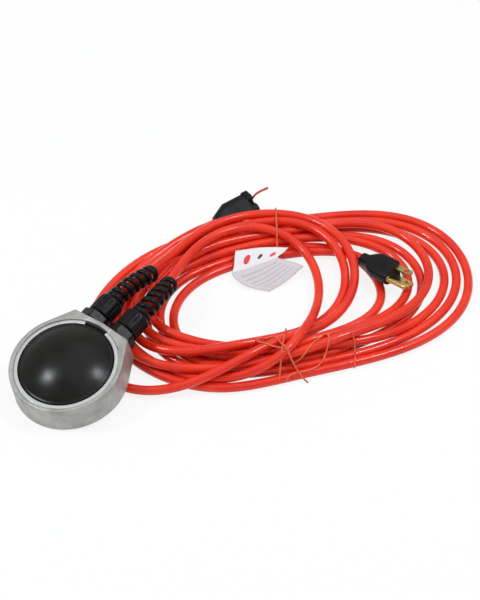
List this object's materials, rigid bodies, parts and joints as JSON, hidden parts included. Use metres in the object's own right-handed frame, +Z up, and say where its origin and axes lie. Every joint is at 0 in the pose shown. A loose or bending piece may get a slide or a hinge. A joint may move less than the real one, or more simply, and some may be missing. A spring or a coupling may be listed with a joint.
{
  "type": "foot or palm switch station",
  "caption": "Round cast push-button station in line between coiled cords: a domed button under a split ring, two cable glands with spiral guards, a plug and a connector.",
  "frame": {"origin": "centre of the bottom of the station's bounding box, measured without the cords; Z = 0 is the table that it lies on", "axes": "+Z up, +Y the way the two cable glands point seen from above, +X to the right of that; the station leans back 10 degrees about X"},
  "size_m": [0.271, 0.3946, 0.0455],
  "materials": {
    "cast_grey": "matt cast aluminium, greyed by use",
    "plate": "dark paint",
    "black_rubber": "black rubber",
    "steel_screw": "zinc plated steel",
    "bright_ring": "turned bright metal",
    "button_rubber": "satin black rubber",
    "inner_steel": "plain steel",
    "spring_steel": "spring wire",
    "switch_plastic": "moulded plastic",
    "plunger_red": "red plastic",
    "brass": "brass, slightly dulled",
    "gland_black": "black nylon",
    "wire_black": "black insulation",
    "wire_white": "white insulation",
    "wire_green": "green insulation",
    "cap_ivory": "ivory nylon",
    "screw_green": "green coated",
    "cord_red": "glossy orange-red sheath",
    "plug_black": "moulded black rubber",
    "wire_red": "red insulation",
    "tag_paper": "coated paper",
    "tie_orange": "orange tie wire"
  },
  "bodies": {
    "station": {"housing": "cast_grey", "base_plate": "plate", "base_gasket": "black_rubber", "base_screws": "steel_screw", "retaining_ring": "bright_ring", "guide_posts": "inner_steel", "return_springs": "spring_steel", "switch_case": "switch_plastic", "switch_terminals": "brass", "switch_bracket": "inner_steel", "switch_screws": "steel_screw", "bracket_rivets": "steel_screw", "gland_body_a": "gland_black", "gland_body_b": "gland_black", "gland_washer_a": "black_rubber", "gland_washer_b": "black_rubber", "gland_seal_a": "black_rubber", "gland_seal_b": "black_rubber", "gland_nut_a": "gland_black", "gland_nut_b": "gland_black", "spiral_guard_a": "gland_black", "spiral_guard_b": "gland_black", "blade_receptacles": "brass", "line_wire": "wire_black", "load_wire": "wire_black", "neutral_wires": "wire_white", "ground_wires": "wire_green", "splice_cap": "cap_ivory", "ground_lugs": "inner_steel", "ground_screw": "screw_green", "lead_a": "cord_red", "lead_b": "cord_red", "cord_bundle": "cord_red", "cord_under_station": "cord_red", "plug_lead": "cord_red", "connector_lead": "cord_red", "plug_body": "plug_black", "plug_blades": "brass", "plug_ground_pin": "brass", "connector_body": "plug_black", "connector_contacts": "brass", "loose_wire": "wire_red", "cord_tag": "tag_paper", "wire_ties": "tie_orange"},
    "button": {"button_dome": "button_rubber", "pressure_plate": "inner_steel", "plate_screws": "steel_screw"},
    "plunger": {"switch_plunger": "plunger_red"}
  },
  "joints": [
    {"name": "button_press", "type": "slide", "parent": "station", "child": "button", "axis": [0, 0.1736, -0.9848], "range_m": [0, 0.0022], "stiffness_N_per_m": 3000, "springref_m": -0.003, "deforming": ["return_springs"]},
    {"name": "plunger_travel", "type": "slide", "parent": "station", "child": "plunger", "axis": [0, 0.1736, -0.9848], "range_m": [0, 0.0022]}
  ],
  "couplings": [
    {"joint": "plunger_travel", "follows": "button_press", "ratio": 1}
  ]
}
